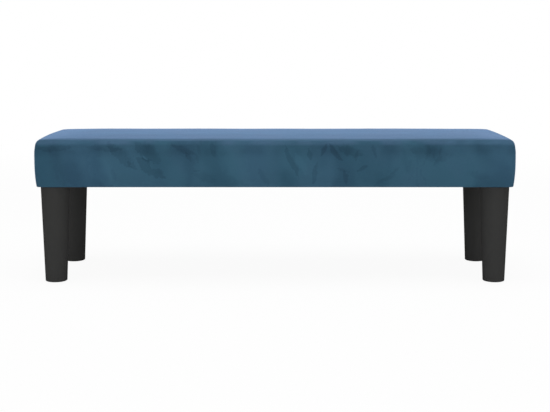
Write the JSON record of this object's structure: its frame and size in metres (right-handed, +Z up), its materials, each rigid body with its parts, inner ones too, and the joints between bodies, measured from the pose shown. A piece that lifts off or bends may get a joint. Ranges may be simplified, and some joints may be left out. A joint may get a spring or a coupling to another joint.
{
  "type": "velvet bench",
  "caption": "Low rectangular padded bench in blue velvet on round tapered dark legs, for sitting on in a hall or at the foot of a bed.",
  "frame": {"origin": "on the floor, under the middle of the seat", "axes": "+Z up, +X along the seat's length towards a sitter's left hand, +Y towards the back, so -Y is the front"},
  "size_m": [1, 0.3, 0.3],
  "materials": {
    "velvet": "short-pile velvet, brushed",
    "foam": "open-cell upholstery foam",
    "wadding": "polyester wadding",
    "dust_cloth": "black non-woven cloth",
    "plywood": "unfinished plywood",
    "timber": "planed softwood",
    "screw_steel": "yellow zinc plated",
    "staple_wire": "galvanised wire",
    "plated_steel": "zinc plated",
    "leg_plastic": "fine satin moulding",
    "glide_plastic": "matte"
  },
  "bodies": {
    "root": {"velvet_cover": "velvet", "top_foam": "foam", "front_wadding": "wadding", "back_wadding": "wadding", "left_wadding": "wadding", "right_wadding": "wadding", "dust_cover": "dust_cloth", "seat_board": "plywood", "front_rail": "timber", "back_rail": "timber", "left_end_rail": "timber", "right_end_rail": "timber", "left_cross_rail": "timber", "right_cross_rail": "timber", "rail_screws": "screw_steel", "cross_rail_screws": "screw_steel", "corner_block_screws": "screw_steel", "board_screws": "screw_steel", "hem_staples": "staple_wire", "dust_cover_staples": "staple_wire", "front_left_corner_block": "plywood", "front_left_tee_nut": "plated_steel", "front_left_leg": "leg_plastic", "front_left_leg_stud": "plated_steel", "front_left_glide": "glide_plastic", "front_right_corner_block": "plywood", "front_right_tee_nut": "plated_steel", "front_right_leg": "leg_plastic", "front_right_leg_stud": "plated_steel", "front_right_glide": "glide_plastic", "back_left_corner_block": "plywood", "back_left_tee_nut": "plated_steel", "back_left_leg": "leg_plastic", "back_left_leg_stud": "plated_steel", "back_left_glide": "glide_plastic", "back_right_corner_block": "plywood", "back_right_tee_nut": "plated_steel", "back_right_leg": "leg_plastic", "back_right_leg_stud": "plated_steel", "back_right_glide": "glide_plastic"}
  },
  "joints": []
}
